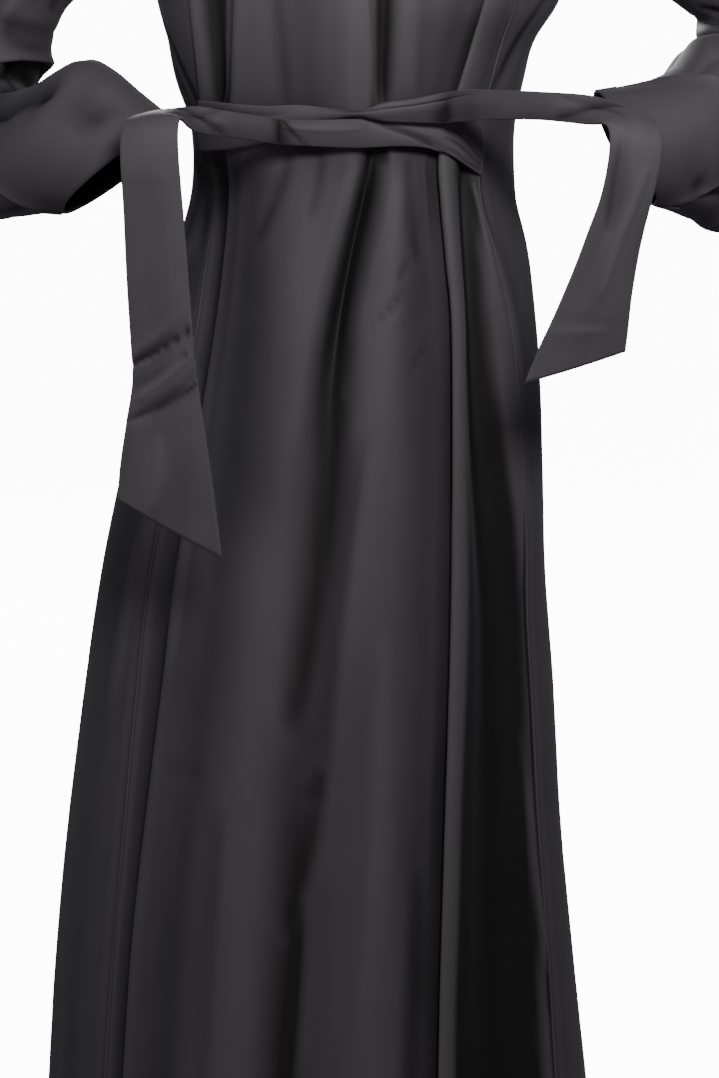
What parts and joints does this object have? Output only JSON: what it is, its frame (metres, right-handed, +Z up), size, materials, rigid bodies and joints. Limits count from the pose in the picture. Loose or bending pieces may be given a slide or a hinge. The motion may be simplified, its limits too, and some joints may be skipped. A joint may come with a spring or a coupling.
{
  "type": "abaya",
  "caption": "Long black crepe abaya in its worn pose, open at neck, hem and cuffs, with wide gored sleeves and waist ties crossed in front.",
  "frame": {"origin": "between the shoulders at the base of the neck, where the wearer's shoulders hold the garment up", "axes": "+Z up towards the neck, -Y out of the front, +X to the right as seen from the front"},
  "size_m": [0.9542, 0.4643, 1.4168],
  "materials": {
    "black_crepe": "matt black crepe with a soft sheen",
    "tie_crepe": "matt black crepe in two layers"
  },
  "bodies": {
    "root": {"front_panel": "black_crepe", "back_panel_left": "black_crepe", "back_panel_right": "black_crepe", "side_panel_left": "black_crepe", "side_panel_right": "black_crepe", "sleeve_left": "black_crepe", "sleeve_right": "black_crepe", "sleeve_gore_left": "black_crepe", "sleeve_gore_right": "black_crepe", "tie_left": "tie_crepe", "tie_right": "tie_crepe"}
  },
  "joints": []
}
